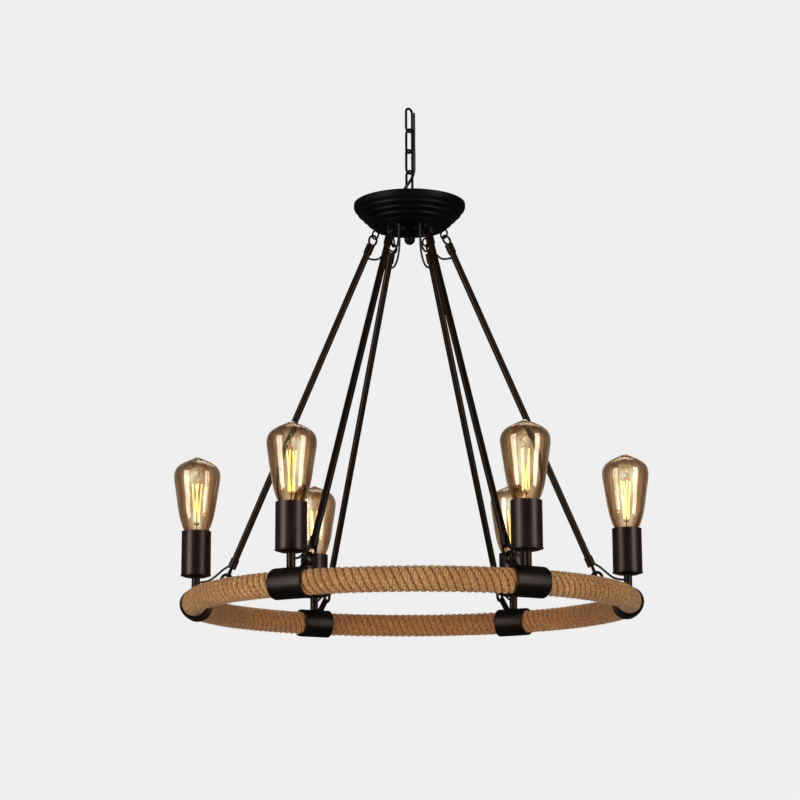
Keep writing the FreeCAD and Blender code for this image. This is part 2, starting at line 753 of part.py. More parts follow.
# Lampholders: an insulating body screwed on the post's neck, bored for the screw shell.
holder_bore = "shell_inner_radius + shell_wall + seat_gap"
holder_outline = [
    (cup_hole, "0"),
    ("holder_boss_radius", "0"),
    ("holder_boss_radius", "holder_boss / 2"),
    ("holder_radius", "holder_boss"),
    ("holder_radius", "holder_height"),
    (holder_bore, "holder_height"),
    (holder_bore, "holder_floor"),
    (cup_hole, "holder_floor"),
]
holder_level = cup_level + size("cup_wall") + CUP_FLOOR_RISE_SHARE * size("cup_dish") + size("seat_gap")
shell_level = holder_level + size("holder_floor") + size("seat_gap")
shell_outline = [
    ("shell_inner_radius", "0"),
    ("shell_inner_radius + shell_wall", "0"),
    ("shell_inner_radius + shell_wall", "shell_length"),
    ("shell_inner_radius", "shell_length"),
]
holders = []
shells = []
for index in range(LAMPS):
    tag = "%d" % (index + 1)
    holders.append(turned("lampholder_" + tag, holder_outline, on_ring(index, holder_level)))
    shells.append(turned("screw_shell_" + tag, shell_outline, on_ring(index, shell_level)))
group("lampholders", holders)
group("screw_shells", shells)

# Bulbs: a screw base, a drop-shaped glass, and a stem that carries the long filaments.
base_level = shell_level + size("seat_gap")
base_outline = [
    ("0", "0"),
    ("base_contact_radius", "0"),
    ("base_contact_radius", "base_contact"),
    ("base_radius - base_contact", "base_insulator"),
    ("base_radius", "base_insulator + base_contact"),
    ("base_radius", "base_length"),
    ("base_radius - base_wall", "base_length"),
    ("base_radius - base_wall", "base_insulator + base_contact + base_wall"),
    ("0", "base_insulator + base_contact + base_wall"),
]
glass_level = base_level + size("base_length") - size("neck_overlap")
glass_height = size("bulb_length") - size("base_length") + size("neck_overlap")
neck = size("neck_radius")


def glass_shape():
    """The glass, turned about its own axis from its outline and the same outline moved in by the wall."""
    outline = [Vector(neck, 0, 0), Vector(neck, 0, size("neck_overlap") / 2)]
    for wide, high in GLASS_OUTLINE_SHARES:
        outline.append(Vector(wide * size("bulb_radius"), 0, high * glass_height))
    outline.append(Vector(0, 0, glass_height))
    outside = Part.BSplineCurve()
    outside.interpolate(Points=outline, InitialTangent=UP, FinalTangent=Vector(-1, 0, 0))
    wall = size("glass_wall")
    moved = []
    for point in outline:
        where = outside.parameter(point)
        along = outside.tangent(where)[0]
        moved.append(point + Vector(-along.z, 0, along.x) * wall)
    moved[0] = Vector(neck - wall, 0, 0)
    moved[-1] = Vector(0, 0, glass_height - wall)
    inside = Part.BSplineCurve()
    inside.interpolate(Points=moved, InitialTangent=UP, FinalTangent=Vector(-1, 0, 0))
    edges = [
        outside.toShape(),
        Part.LineSegment(outline[-1], moved[-1]).toShape(),
        inside.toShape(),
        Part.LineSegment(moved[0], outline[0]).toShape(),
    ]
    face = Part.Face(Part.Wire(Part.__sortEdges__(edges)))
    solid = face.revolve(Vector(0, 0, 0), UP, FULL_TURN)
    return solid if solid.Volume > 0 else solid.reversed()


stem_outline = [
    ("0", "0"),
    ("neck_radius - glass_wall - seat_gap", "0"),
    ("neck_radius - glass_wall - seat_gap", "stem_flange"),
    ("stem_radius", "%g * stem_height" % STEM_NECK_SHARE),
    ("stem_radius", "stem_height"),
    ("0", "stem_height"),
]
glass = glass_shape()


def filament_set():
    """Stem, support wire, two wire stars and the sticks, as one solid over the glass's lower edge."""
    foot_level = size("seat_gap") + size("stem_height")
    top_level = foot_level + size("filament_length")
    base = Placement(UP * size("seat_gap"), Rotation())
    pieces = [
        turned("stem", stem_outline, base),
        cylinder("support", "support_radius", "stem_height + filament_length", base),
    ]
    for where, level in (("foot", foot_level), ("top", top_level)):
        reach = "filament_%s_radius" % where
        ring_at = Placement(UP * level, Rotation())
        pieces.append(torus(where + "_ring", reach, "filament_wire_radius", ring_at))
        spoke = Placement(UP * level - ALONG_X * size(reach), Rotation(ALONG_Y, QUARTER_TURN))
        pieces.append(cylinder(where + "_spoke", "filament_wire_radius", "2 * " + reach, spoke))
    clear = size("filament_wire_radius") / 2
    for number in range(FILAMENTS):
        turn = Rotation(UP, (number + 1 / 2) * FULL_TURN / FILAMENTS)
        foot = turn.multVec(ALONG_X * size("filament_foot_radius")) + UP * (foot_level + clear)
        tip = turn.multVec(ALONG_X * size("filament_top_radius")) + UP * (top_level - clear)
        strand = cylinder("filament_%d" % (number + 1), "filament_radius", "filament_length",
                          Placement(foot, Rotation(UP, tip - foot)))
        strand.setExpression("Height", "%.6f" % (tip - foot).Length)
        pieces.append(strand)
    return fuse("filament_blank", pieces)


filaments = filament_set()
doc.recompute()
for index in range(LAMPS):
    tag = "%d" % (index + 1)
    keep(turned("bulb_base_" + tag, base_outline, on_ring(index, base_level)), "bulb_base_" + tag)
    keep(feature("bulb_glass_" + tag, glass, on_ring(index, glass_level)), "bulb_glass_" + tag)
    keep(feature("filaments_" + tag, filaments.Shape, on_ring(index, glass_level)), "bulb_filament_" + tag)


# Rope: four strands wound side by side round the tube, from band to band.
winding_radius = size("tube_radius") + size("strand_seat_gap") + size("strand_diameter") / 2


def winding_point(along, turn):
    """A point of the winding and its direction: along the ring in radians, round the tube in radians."""
    out = size("ring_radius") + winding_radius * math.cos(turn)
    return Vector(out * math.cos(along), out * math.sin(along), winding_radius * math.sin(turn))


def winding_way(along, turn, turn_rate):
    """The direction in which a winding runs whose turn changes at that rate along the ring."""
    out = size("ring_radius") + winding_radius * math.cos(turn)
    ahead = Vector(-math.sin(along), math.cos(along), 0) * out
    outward = Vector(math.cos(along), math.sin(along), 0)
    round_tube = (outward * -math.sin(turn) + UP * math.cos(turn)) * winding_radius
    return (ahead + round_tube * turn_rate).normalize()


def biarc(start, start_way, end, end_way):
    """Two tangent arcs that leave start and reach end in the given directions."""
    chord = end - start
    both = start_way + end_way
    square = 2 * (start_way.dot(end_way) - 1)
    slope = -2 * chord.dot(both)
    leg = (-slope - math.sqrt(slope ** 2 - 4 * square * chord.dot(chord))) / (2 * square)
    if leg < 0:
        leg = (-slope + math.sqrt(slope ** 2 - 4 * square * chord.dot(chord))) / (2 * square)
    first_corner = start + start_way * leg
    second_corner = end - end_way * leg
    joint = (first_corner + second_corner) * 0.5
    return [arc_between(start, first_corner, joint), arc_between(joint, second_corner, end)]


def strand_path(number):
    """Straight out of one band, turn after turn round the tube, and straight into the next band."""
    ring = size("ring_radius")
    segment = 2 * math.pi / LAMPS
    face = size("band_web") / 2 / ring
    start = (size("band_web") / 2 + size("strand_diameter") + size("strand_run_out")) / ring
    end = segment - start
    first_turn = 2 * math.pi * number / STRANDS
    rate = -STRAND_TURNS * 2 * math.pi / (end - start)
    ease = -rate * size("strand_run_out") / ring / 2
    ends = []
    for edge_along, wound_along, turn, lead_in in (
            (face, start, first_turn, ease),
            (segment - face, end, first_turn + rate * (end - start), -ease)):
        heading = 1 if lead_in > 0 else -1
        way = Vector(-math.sin(edge_along), math.cos(edge_along), 0)
        foot = winding_point(edge_along, turn + lead_in)
        knee = foot + way * (heading * size("strand_diameter"))
        ends.append((foot, knee, way))
    (foot_in, knee_in, way_in), (foot_out, knee_out, way_out) = ends
    edges = [Part.LineSegment(foot_in, knee_in).toShape()]
    here = knee_in
    here_way = way_in
    for step in range(BIARCS + 1):
        along = start + (end - start) * step / BIARCS
        turn = first_turn + rate * (along - start)
        there = winding_point(along, turn)
        there_way = winding_way(along, turn, rate)
        edges += biarc(here, here_way, there, there_way)
        here = there
        here_way = there_way
    edges += biarc(here, here_way, knee_out, way_out)
    edges.append(Part.LineSegment(knee_out, foot_out).toShape())
    return edges


def least_gap(paths, diameter):
    """The least gap between neighbouring strands, and between the turns of one strand, on points."""
    samples = 14
    lines = []
    for edges in paths:
        points = []
        for edge in edges:
            points += edge.discretize(samples)[:-1]
        lines.append(points)
    apart = int(samples * 2)
    beside = min((one - other).Length for number, line in enumerate(lines)
                 for one in line[::2] for other in lines[(number + 1) % len(lines)])
    own = min((line[here] - line[there]).Length for line in lines[:1]
              for here in range(len(line)) for there in range(here + apart, len(line)))

    def off_centre(point):
        return math.hypot(math.hypot(point.x, point.y) - size("ring_radius"), point.z)

    inner = min(off_centre(point) for line in lines for point in line) - diameter / 2
    ends = [point for line in lines for point in line[:samples] + line[-samples:]]
    outer = max(off_centre(point) for point in ends) + diameter / 2
    print("rope: gap to the tube %.2f, to the sleeves of the bands %.2f" % (
        inner - size("tube_radius"), size("band_radius") - size("band_wall") - outer))
    return beside - diameter, own - diameter


strand_paths = [strand_path(number) for number in range(STRANDS)]
strand_shapes = [tube(edges, size("strand_diameter")) for edges in strand_paths]
gaps = least_gap(strand_paths, size("strand_diameter"))
radii = [edge.Curve.Radius for edges in strand_paths for edge in edges if hasattr(edge.Curve, "Radius")]
wound = sum(edge.Length for edge in strand_paths[0])
section = math.pi * size("strand_diameter") ** 2 / 4
print("rope: least gap beside %.2f, to itself %.2f, tightest bend %.1f" % (gaps[0], gaps[1], min(radii)))
print("rope: strand length %.0f, volume ratio %.4f" % (wound, strand_shapes[0].Volume / (section * wound)))
rope = Part.makeCompound(strand_shapes)
for index in range(LAMPS):
    label = "rope_wrap_%d" % (index + 1)
    keep(feature(label, rope, around(index, ring_place)), label)

# Cords: the supply flex beside the chain, and two leads for each lamp.
flex_points = [Vector(*point) for point in FLEX_ROUTE]
keep(feature("supply_flex", cord(flex_points, "supply_flex", size("flex_diameter"))), "supply_flex")
for label, points in (("hub_leads", hub_lead_points), ("lamp_leads", lamp_lead_points)):
    one = cord(points, label, size("lead_diameter"))
    copies = []
    for index in range(LAMPS):
        copy = one.copy()
        copy.Placement = around(index)
        copies.append(copy)
    keep(feature(label, Part.makeCompound(copies)), label)

doc.recompute()

faults = []
for thing in doc.Objects:
    if "Invalid" in thing.State or "Error" in thing.State:
        faults.append("%s is %s" % (thing.Name, thing.State))
for label, thing in sub_parts.items():
    if thing.Shape.isNull() or not thing.Shape.isValid():
        faults.append("%s has no valid shape" % label)
if faults:
    raise RuntimeError("; ".join(faults))

print("ring level %.3f, hub top %.3f, rod lean %.3f degrees, rod eye to eye %.2f, glass level %.3f" % (
    ring_level, hub_top, math.degrees(math.atan2(pull.x, -pull.z)), span, ring_level + glass_level))

os.makedirs("parts", exist_ok=True)
for label, thing in sub_parts.items():
    thing.Shape.exportStep("parts/%s.step" % label)
print("%d sub-parts written" % len(sub_parts))
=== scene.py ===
import math
import random

import bmesh
import bpy
from mathutils import Matrix, Vector


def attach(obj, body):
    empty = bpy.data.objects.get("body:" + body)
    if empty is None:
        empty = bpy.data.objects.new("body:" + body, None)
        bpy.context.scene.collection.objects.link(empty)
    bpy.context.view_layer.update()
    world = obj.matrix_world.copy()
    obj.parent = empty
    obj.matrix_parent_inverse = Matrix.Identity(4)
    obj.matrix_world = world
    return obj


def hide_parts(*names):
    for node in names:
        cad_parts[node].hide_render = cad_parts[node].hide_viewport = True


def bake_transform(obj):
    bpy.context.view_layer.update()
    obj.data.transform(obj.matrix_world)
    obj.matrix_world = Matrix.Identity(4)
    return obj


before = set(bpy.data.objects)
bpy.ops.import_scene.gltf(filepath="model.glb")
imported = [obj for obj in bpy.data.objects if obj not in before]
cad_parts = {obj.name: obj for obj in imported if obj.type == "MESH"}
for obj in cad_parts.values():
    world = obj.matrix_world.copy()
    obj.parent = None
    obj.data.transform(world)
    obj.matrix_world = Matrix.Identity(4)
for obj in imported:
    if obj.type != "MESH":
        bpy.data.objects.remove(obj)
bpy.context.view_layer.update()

# Metres, in the frame of the solids: the hook's seat is the origin, +Z is up.
LAMPS = 6
RING_RADIUS = 0.296
RING_LEVEL = -0.7091
BAY_LENGTH = RING_RADIUS * math.tau / LAMPS
UP = Vector((0, 0, 1))

# Heights over the ring's centre line, on the axis of a lamp.
CAP_FOOT = 0.0633
GLASS_FOOT = 0.0833
STEM_FOOT = 0.0834
FILAMENT_FOOT = 0.1134
FILAMENT_TOP = 0.1714

# Twisted yarns in each strand of the rope, which its finish follows too.
YARNS = 7

# Points nearer to each other than this are one point.
SAME_POINT = 1e-6

random.seed(11)


# Places and shapes

def nth(stem, index):
    """The name of a lamp's own piece, node or body, which are numbered from 1."""
    return "%s_%d" % (stem, index + 1)


def lamp_turn(index):
    return Matrix.Rotation(index * math.tau / LAMPS, 4, "Z")


def lamp_place(index):
    """From a lamp's own axis, with the ring's level as zero, to its place on the ring."""
    return lamp_turn(index) @ Matrix.Translation((RING_RADIUS, 0, RING_LEVEL))


def show(name, data):
    thing = bpy.data.objects.new(name, data)
    bpy.context.scene.collection.objects.link(thing)
    return thing


def dress(piece, body, slot, node, *materials):
    """Gives a finished piece its finishes and its body, and hides the node that it stands for."""
    for material in materials:
        piece.data.materials.append(material)
    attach(piece, body)
    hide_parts(node)


def as_mesh(piece, name):
    """The piece's mesh with everything on it applied."""
    depsgraph = bpy.context.evaluated_depsgraph_get()
    mesh = bpy.data.meshes.new_from_object(piece.evaluated_get(depsgraph), depsgraph=depsgraph)
    mesh.name = name
    return mesh


def drop(thing):
    bpy.data.objects.remove(thing, do_unlink=True)


def smooth(mesh):
    for face in mesh.polygons:
        face.use_smooth = True


def to_mesh(form, name, is_smooth=True):
    mesh = bpy.data.meshes.new(name)
    form.to_mesh(mesh)
    form.free()
    if is_smooth:
        smooth(mesh)
    return mesh


def lathe(outline, steps, climb=0.0):
    """A bmesh turned once about Z from an outline of (radius, height), which may climb as a thread does."""
    form = bmesh.new()
    corners = [form.verts.new((radius, 0, height)) for radius, height in outline]
    edges = [form.edges.new(pair) for pair in zip(corners, corners[1:])]
    bmesh.ops.spin(form, geom=corners + edges, cent=(0, 0, 0), axis=UP, angle=math.tau, steps=steps,
                   dvec=(0, 0, climb / steps), use_merge=not climb, use_duplicate=False)
    bmesh.ops.remove_doubles(form, verts=form.verts, dist=SAME_POINT)
    bmesh.ops.recalc_face_normals(form, faces=form.faces)
    return form


def stick_between(form, start, end, radius, sides=8):
    """Adds a round stick between two points to the form."""
    start, end = Vector(start), Vector(end)
    way = end - start
    made = bmesh.ops.create_cone(form, cap_ends=True, cap_tris=False, segments=sides, radius1=radius,
                                 radius2=radius, depth=way.length)
    turn = UP.rotation_difference(way).to_matrix().to_4x4()
    bmesh.ops.transform(form, matrix=Matrix.Translation((start + end) / 2) @ turn, verts=made["verts"])
    return made["verts"]


def set_material(form, verts, number):
    chosen = set(verts)
    for face in form.faces:
        if all(corner in chosen for corner in face.verts):
            face.material_index = number


def new_curve(name, resolution):
    curve = bpy.data.curves.new(name, "CURVE")
    curve.dimensions = "3D"
    curve.resolution_u = resolution
    return curve


def add_spline(curve, kind, count):
    spline = curve.splines.new(kind)
    spline.points.add(count - 1)
    return spline


def make_flow(spline):
    """Makes a NURBS spline quadratic, from end point to end point, once its points are placed."""
    spline.order_u = 3
    spline.use_endpoint_u = True


# Finishes

def finish(name):
    material = bpy.data.materials.new(name)
    material.use_nodes = True
    return material, material.node_tree, material.node_tree.nodes["Principled BSDF"]


def feed(tree, node, inputs):
    """Sets a node's inputs, which are numbers, colours or other nodes' outputs."""
    for name, value in inputs.items():
        if isinstance(value, bpy.types.NodeSocket):
            tree.links.new(value, node.inputs[name])
        else:
            node.inputs[name].default_value = value


def add(tree, kind, inputs=None, **settings):
    made = tree.nodes.new(kind)
    for name, value in settings.items():
        setattr(made, name, value)
    feed(tree, made, inputs or {})
    return made


def ramp(tree, factor, stops):
    """A colour ramp over the factor. Stops are (position, colour or grey)."""
    made = add(tree, "ShaderNodeValToRGB", {"Fac": factor})
    while len(made.color_ramp.elements) < len(stops):
        made.color_ramp.elements.new(0.5)
    for element, (position, colour) in zip(made.color_ramp.elements, stops):
        element.position = position
        element.color = (*colour, 1) if isinstance(colour, tuple) else (colour, colour, colour, 1)
    return made.outputs["Color"]


def grain(tree, where, scale, detail=3.0, roughness=0.55, distortion=0.0):
    noise = add(tree, "ShaderNodeTexNoise", {
        "Vector": where,
        "Scale": scale,
        "Detail": detail,
        "Roughness": roughness,
        "Distortion": distortion,
    })
    return noise.outputs["Fac"]


def bump(tree, height, strength, distance):
    made = add(tree, "ShaderNodeBump", {"Height": height, "Strength": strength, "Distance": distance})
    return made.outputs["Normal"]


def object_place(tree):
    return add(tree, "ShaderNodeTexCoord").outputs["Object"]


def stretch(tree, where, scale):
    return add(tree, "ShaderNodeMapping", {"Vector": where, "Scale": scale}).outputs["Vector"]


def reckon(tree, operation, first, second):
    return add(tree, "ShaderNodeMath", {0: first, 1: second}, operation=operation).outputs["Value"]


def tinted(tree, colour, tint):
    """One colour multiplied by another."""
    made = add(tree, "ShaderNodeMix", {0: 1.0, 6: colour, 7: tint}, data_type="RGBA",
               blend_type="MULTIPLY")
    return made.outputs[2]


def share_of_way(tree, place, axes, start, end):
    """0 where the place is at the start's distance from the lamp's middle along the axes, 1 at the end's."""
    flat = add(tree, "ShaderNodeVectorMath", {0: place, 1: axes}, operation="MULTIPLY").outputs["Vector"]
    reach = add(tree, "ShaderNodeVectorMath", {0: flat}, operation="LENGTH").outputs["Value"]
    made = add(tree, "ShaderNodeMapRange", {"Value": reach, "From Min": start, "From Max": end})
    return made.outputs["Result"]


def black_enamel(name, dark, light, smoothness, gloss, sheen):
    """Satin black paint with a brown cast, clouded a little, with a fine skin like orange peel."""
    material, tree, shader = finish(name)
    place = object_place(tree)
    clouds = grain(tree, place, 45.0, 4.0)
    feed(tree, shader, {
        "Base Color": ramp(tree, clouds, [(0.35, dark), (0.7, light)]),
        "Roughness": ramp(tree, clouds, [(0.3, smoothness), (0.75, smoothness + 0.1)]),
        "Specular IOR Level": gloss,
        "Specular Tint": sheen,
        "Normal": bump(tree, grain(tree, place, 700.0, 2.0), 0.12, 0.0003),
    })
    return material


def rope_yarn():
    """Fibres that run along the twisted yarns of a strand, with painted shade in the creases between yarns.
    """
    material, tree, shader = finish("rope_yarn")
    along = add(tree, "ShaderNodeUVMap", uv_map="UVMap").outputs["UV"]
    place = object_place(tree)
    around = add(tree, "ShaderNodeSeparateXYZ", {0: along}).outputs["Y"]
    crease = reckon(tree, "PINGPONG", reckon(tree, "MULTIPLY", around, float(YARNS)), 0.5)
    fibres = grain(tree, stretch(tree, along, (150.0, 60.0, 1.0)), 1.0, 6.0, 0.7, 0.3)
    flecks = grain(tree, place, 380.0, 3.0, 0.75)
    level = reckon(tree, "DIVIDE", reckon(tree, "ADD", fibres, flecks), 2.0)
    colour = ramp(tree, level, [
        (0.34, (0.110, 0.042, 0.010)),
        (0.46, (0.365, 0.175, 0.058)),
        (0.54, (0.520, 0.280, 0.108)),
        (0.64, (0.860, 0.600, 0.320)),
    ])
    patched = ramp(tree, grain(tree, place, 16.0), [
        (0.3, (0.88, 0.78, 0.66)),
        (0.5, (0.98, 0.96, 0.92)),
        (0.7, (1.05, 1.08, 1.05)),
    ])
    # Painted shade: the rope's colour is darker in the creases between the yarns.
    painted_crease_shade = ramp(tree, crease, [(0.20, (1.05, 1.04, 1.02)), (0.5, (0.72, 0.63, 0.54))])
    # Painted shade: the side that faces the ring's middle is painted darker and redder.
    outward = share_of_way(tree, place, (1.0, 1.0, 0.0), RING_RADIUS - 0.013, RING_RADIUS + 0.011)
    painted_inner_shade = ramp(tree, outward, [(0.0, (0.76, 0.62, 0.52)), (1.0, (1.0, 1.0, 1.0))])
    # Painted shade: the rope is painted darker towards the ring's left and right ends.
    aside = share_of_way(tree, place, (1.0, 0.0, 0.0), RING_RADIUS * 0.7, RING_RADIUS * 1.03)
    painted_end_shade = ramp(tree, aside, [(0.0, (1.0, 1.0, 1.0)), (1.0, (0.60, 0.55, 0.48))])
    for tint in (patched, painted_crease_shade, painted_inner_shade, painted_end_shade):
        colour = tinted(tree, colour, tint)
    feed(tree, shader, {
        "Base Color": colour,
        "Roughness": ramp(tree, fibres, [(0.2, 0.95), (0.8, 0.72)]),
        "Specular IOR Level": 0.25,
        "Sheen Weight": 0.12,
        "Sheen Roughness": 0.5,
        "Normal": bump(tree, level, 0.7, 0.0012),
    })
    return material


def rope_groove_shade():
    """The filling between the strands, coloured dark as painted shade in the grooves."""
    material, tree, shader = finish("rope_groove_shade")
    shade_mottle = grain(tree, object_place(tree), 260.0, 4.0)
    # Painted shade: the filling is a mottled dark brown where the grooves are shaded.
    feed(tree, shader, {
        "Base Color": ramp(tree, shade_mottle, [(0.3, (0.09, 0.035, 0.010)), (0.7, (0.24, 0.11, 0.038))]),
        "Roughness": 0.95,
        "Specular IOR Level": 0.1,
        "Normal": bump(tree, shade_mottle, 0.6, 0.0006),
    })
    return material


def rope_hair():
    material, tree, shader = finish("rope_hair")
    tint = grain(tree, object_place(tree), 120.0)
    feed(tree, shader, {
        "Base Color": ramp(tree, tint, [(0.3, (0.30, 0.17, 0.08)), (0.7, (0.60, 0.42, 0.23))]),
        "Roughness": 0.7,
    })
    return material


def amber_glass():
    """Smoked amber glass: clear where its wall is seen square on, brown beside that, pale at its rim."""
    material, tree, shader = finish("amber_glass")
    place = object_place(tree)
    facing = add(tree, "ShaderNodeLayerWeight", {"Blend": 0.5}).outputs["Facing"]
    tint = ramp(tree, facing, [
        (0.0, (0.98, 0.94, 0.84)),
        (0.09, (0.88, 0.78, 0.63)),
        (0.2, (0.45, 0.31, 0.19)),
        (0.36, (0.26, 0.17, 0.105)),
        (0.56, (0.26, 0.19, 0.135)),
        (0.76, (0.48, 0.42, 0.35)),
        (1.0, (0.88, 0.85, 0.80)),
    ])
    # Drawn glass is streaked along the bulb.
    drawn = grain(tree, stretch(tree, place, (1.0, 1.0, 0.14)), 85.0, 1.0)
    streaks = ramp(tree, drawn, [(0.38, (0.72, 0.60, 0.47)), (0.58, (1.14, 1.11, 1.07))])
    feed(tree, shader, {
        "Base Color": tinted(tree, tint, streaks),
        "Roughness": ramp(tree, grain(tree, place, 30.0), [(0.3, 0.0), (0.8, 0.03)]),
        "Transmission Weight": 1.0,
        "IOR": 1.7,
        "Specular Tint": (1.0, 0.92, 0.78, 1.0),
        "Normal": bump(tree, grain(tree, place, 34.0, 1.0), 0.12, 0.002),
    })
    return material


def stem_glass():
    material, tree, shader = finish("stem_glass")
    streaks = grain(tree, object_place(tree), 80.0)
    feed(tree, shader, {
        "Base Color": ramp(tree, streaks, [(0.3, (0.97, 0.95, 0.90)), (0.8, (1.0, 0.99, 0.97))]),
        "Transmission Weight": 1.0,
        "Roughness": 0.04,
        "IOR": 1.45,
    })
    return material


def filament_glow():
    """The lit filament: yellow-white, with fine darker specks."""
    material, tree, shader = finish("filament_glow")
    speckle = grain(tree, object_place(tree), 420.0, 2.0)
    colour = ramp(tree, speckle, [(0.3, (1.0, 0.68, 0.20)), (0.7, (1.0, 0.86, 0.36))])
    feed(tree, shader, {"Base Color": colour, "Emission Color": colour, "Emission Strength": 2.5})
    return material


def metal(name, dark, light, smoothness):
    material, tree, shader = finish(name)
    place = object_place(tree)
    marks = grain(tree, place, 140.0, 4.0)
    feed(tree, shader, {
        "Base Color": ramp(tree, marks, [(0.3, dark), (0.75, light)]),
        "Roughness": ramp(tree, marks, [(0.3, smoothness), (0.8, smoothness + 0.15)]),
        "Metallic": 1.0,
        "Normal": bump(tree, grain(tree, place, 840.0, 2.0), 0.1, 0.0002),
    })
    return material


def glaze(name, dark, light, smoothness, scale=90.0, depth=0.15):
    """A plain coloured skin, such as glazed porcelain or a cable's cover."""
    material, tree, shader = finish(name)
    place = object_place(tree)
    clouds = grain(tree, place, scale)
    feed(tree, shader, {
        "Base Color": ramp(tree, clouds, [(0.3, dark), (0.7, light)]),
        "Roughness": ramp(tree, clouds, [(0.3, smoothness), (0.8, smoothness + 0.12)]),
        "Normal": bump(tree, grain(tree, place, scale * 9, 2.0), depth, 0.0002),
    })
    return material


ENAMEL = black_enamel("black_enamel", (0.0018, 0.0011, 0.0008), (0.0044, 0.0028, 0.0021),
                      smoothness=0.36, gloss=0.27, sheen=(1.0, 0.80, 0.68, 1.0))
CUP_ENAMEL = black_enamel("cup_enamel", (0.0075, 0.0022, 0.0018), (0.0130, 0.0048, 0.0040),
                          smoothness=0.31, gloss=0.4, sheen=(1.0, 0.84, 0.80, 1.0))
HUB_ENAMEL = black_enamel("hub_enamel", (0.0010, 0.0008, 0.0007), (0.0026, 0.0020, 0.0018),
                          smoothness=0.42, gloss=0.13, sheen=(1.0, 0.96, 0.94, 1.0))
YARN = rope_yarn()
GROOVE = rope_groove_shade()
HAIR = rope_hair()
GLASS = amber_glass()
STEM = stem_glass()
GLOW = filament_glow()
BRASS = metal("cap_brass", (0.52, 0.36, 0.15), (0.78, 0.60, 0.30), 0.22)
WIRE = metal("filament_wire", (0.70, 0.42, 0.12), (0.95, 0.72, 0.34), 0.25)
ZINC = metal("plated_steel", (0.42, 0.42, 0.43), (0.66, 0.66, 0.66), 0.3)
PORCELAIN = glaze("porcelain", (0.72, 0.69, 0.62), (0.84, 0.82, 0.77), 0.12)
INSULATOR = glaze("cap_insulator", (0.012, 0.012, 0.014), (0.03, 0.03, 0.034), 0.14)
LEAD_COVER = glaze("lead_cover", (0.010, 0.009, 0.008), (0.024, 0.021, 0.019), 0.42, 150.0, 0.25)
FLEX_COVER = glaze("flex_cover", (0.012, 0.011, 0.011), (0.028, 0.026, 0.025), 0.48, 120.0, 0.25)


# Camera of the photograph

LENS = 97.1
SENSOR = 36.0
FARTHEST_SEEN = 40.0
# Where the camera stands, from the middle of the ring, in metres.
CAMERA_ASIDE = -0.0147
CAMERA_BACK = 2.945
CAMERA_BELOW_RING = 0.3172
# How it is turned, in degrees.
CAMERA_ROUND = 0.96
CAMERA_UPWARD = 11.56
CAMERA_ROLL = -0.25


def photo_camera():
    lens = bpy.data.cameras.new("photo_camera")
    lens.sensor_width = SENSOR
    lens.lens = LENS
    lens.clip_end = FARTHEST_SEEN
    camera = show("photo_camera", lens)
    orbit = Matrix.Rotation(math.radians(CAMERA_ROUND), 4, "Z")
    stand = Matrix.Translation((CAMERA_ASIDE, -CAMERA_BACK, RING_LEVEL - CAMERA_BELOW_RING))
    tilt = Matrix.Rotation(math.radians(90 + CAMERA_UPWARD), 4, "X")
    roll = Matrix.Rotation(math.radians(CAMERA_ROLL), 4, "Z")
    camera.matrix_world = orbit @ stand @ (tilt @ roll)
    bpy.context.scene.camera = camera


photo_camera()


# Cords: the same points as in the solids, in metres

FLEX_DIAMETER = 0.0042
LEAD_DIAMETER = 0.0030

# The height at which the flex is in two pieces, at the middle of the second link.
FLEX_CUT = -0.0485

# Distance from the ring's axis, and height over the ring.
LAMP_LEAD_ROUTE = [
    (0.24472, 0.05669),
    (0.25517, 0.05247),
    (0.26584, 0.04264),
    (0.27943, 0.03200),
    (0.29240, 0.03200),
]
HUB_LEAD_ROUTE = [
    (0.03000, 0.53750),
    (0.02902, 0.52165),
    (0.03147, 0.50580),
    (0.03809, 0.49252),
    (0.04899, 0.48574),
    (0.06262, 0.49074),
]
FLEX_ROUTE = [
    (0.0066, 0.0003, -0.0050),
    (0.0069, -0.0002, -0.0260),
    (0.0067, 0.0003, -0.0500),
    (0.0070, 0.0002, -0.0760),
    (0.0068, 0.0010, -0.0980),
    (-0.0085, -0.0010, -0.1200),
    (-0.0125, -0.0022, -0.1350),
    (-0.0130, -0.0026, -0.1470),
]


def cord_curve(name, points, diameter, resolution=12):
    """A round cord on one smooth curve with the route's points."""
    curve = new_curve(name, resolution)
    curve.bevel_depth = diameter / 2
    curve.bevel_resolution = 5
    curve.use_fill_caps = True
    spline = add_spline(curve, "NURBS", len(points))
    for corner, place in zip(spline.points, points):
        corner.co = (*place, 1)
    make_flow(spline)
    return show(name, curve)


def leads(kind, node, route):
    """The short cords of one kind, one at each lamp's rod."""
    for index in range(LAMPS):
        turn = lamp_turn(index)
        points = [turn @ Vector((radius, 0, RING_LEVEL + height)) for radius, height in route]
        lead = cord_curve(nth(kind, index), points, LEAD_DIAMETER)
        dress(lead, "chandelier", "lead_cover", node, LEAD_COVER)


def half_of_flex(name, whole, keeps_upper):
    """The part of the flex over or under the cut, closed there."""
    form = bmesh.new()
    form.from_mesh(whole)
    bmesh.ops.remove_doubles(form, verts=form.verts, dist=SAME_POINT)
    geometry = form.verts[:] + form.edges[:] + form.faces[:]
    bmesh.ops.bisect_plane(form, geom=geometry, plane_co=(0, 0, FLEX_CUT), plane_no=UP,
                           clear_outer=not keeps_upper, clear_inner=keeps_upper)
    rim = [edge for edge in form.edges if edge.is_boundary]
    bmesh.ops.holes_fill(form, edges=rim, sides=0)
    return show(name, to_mesh(form, name))


def centre_points(line):
    """The points of a curve's centreline, from its first end to its last."""
    line.data.bevel_depth = 0
    thread = as_mesh(line, "thread")
    places = [vertex.co.copy() for vertex in thread.vertices]
    bpy.data.meshes.remove(thread)
    return places


def bend_flex(part):
    """Finishes a piece of the flex, moves its place into its mesh and hides the flex of the solids."""
    part.data.materials.append(FLEX_COVER)
    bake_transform(part)
    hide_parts("supply_flex")


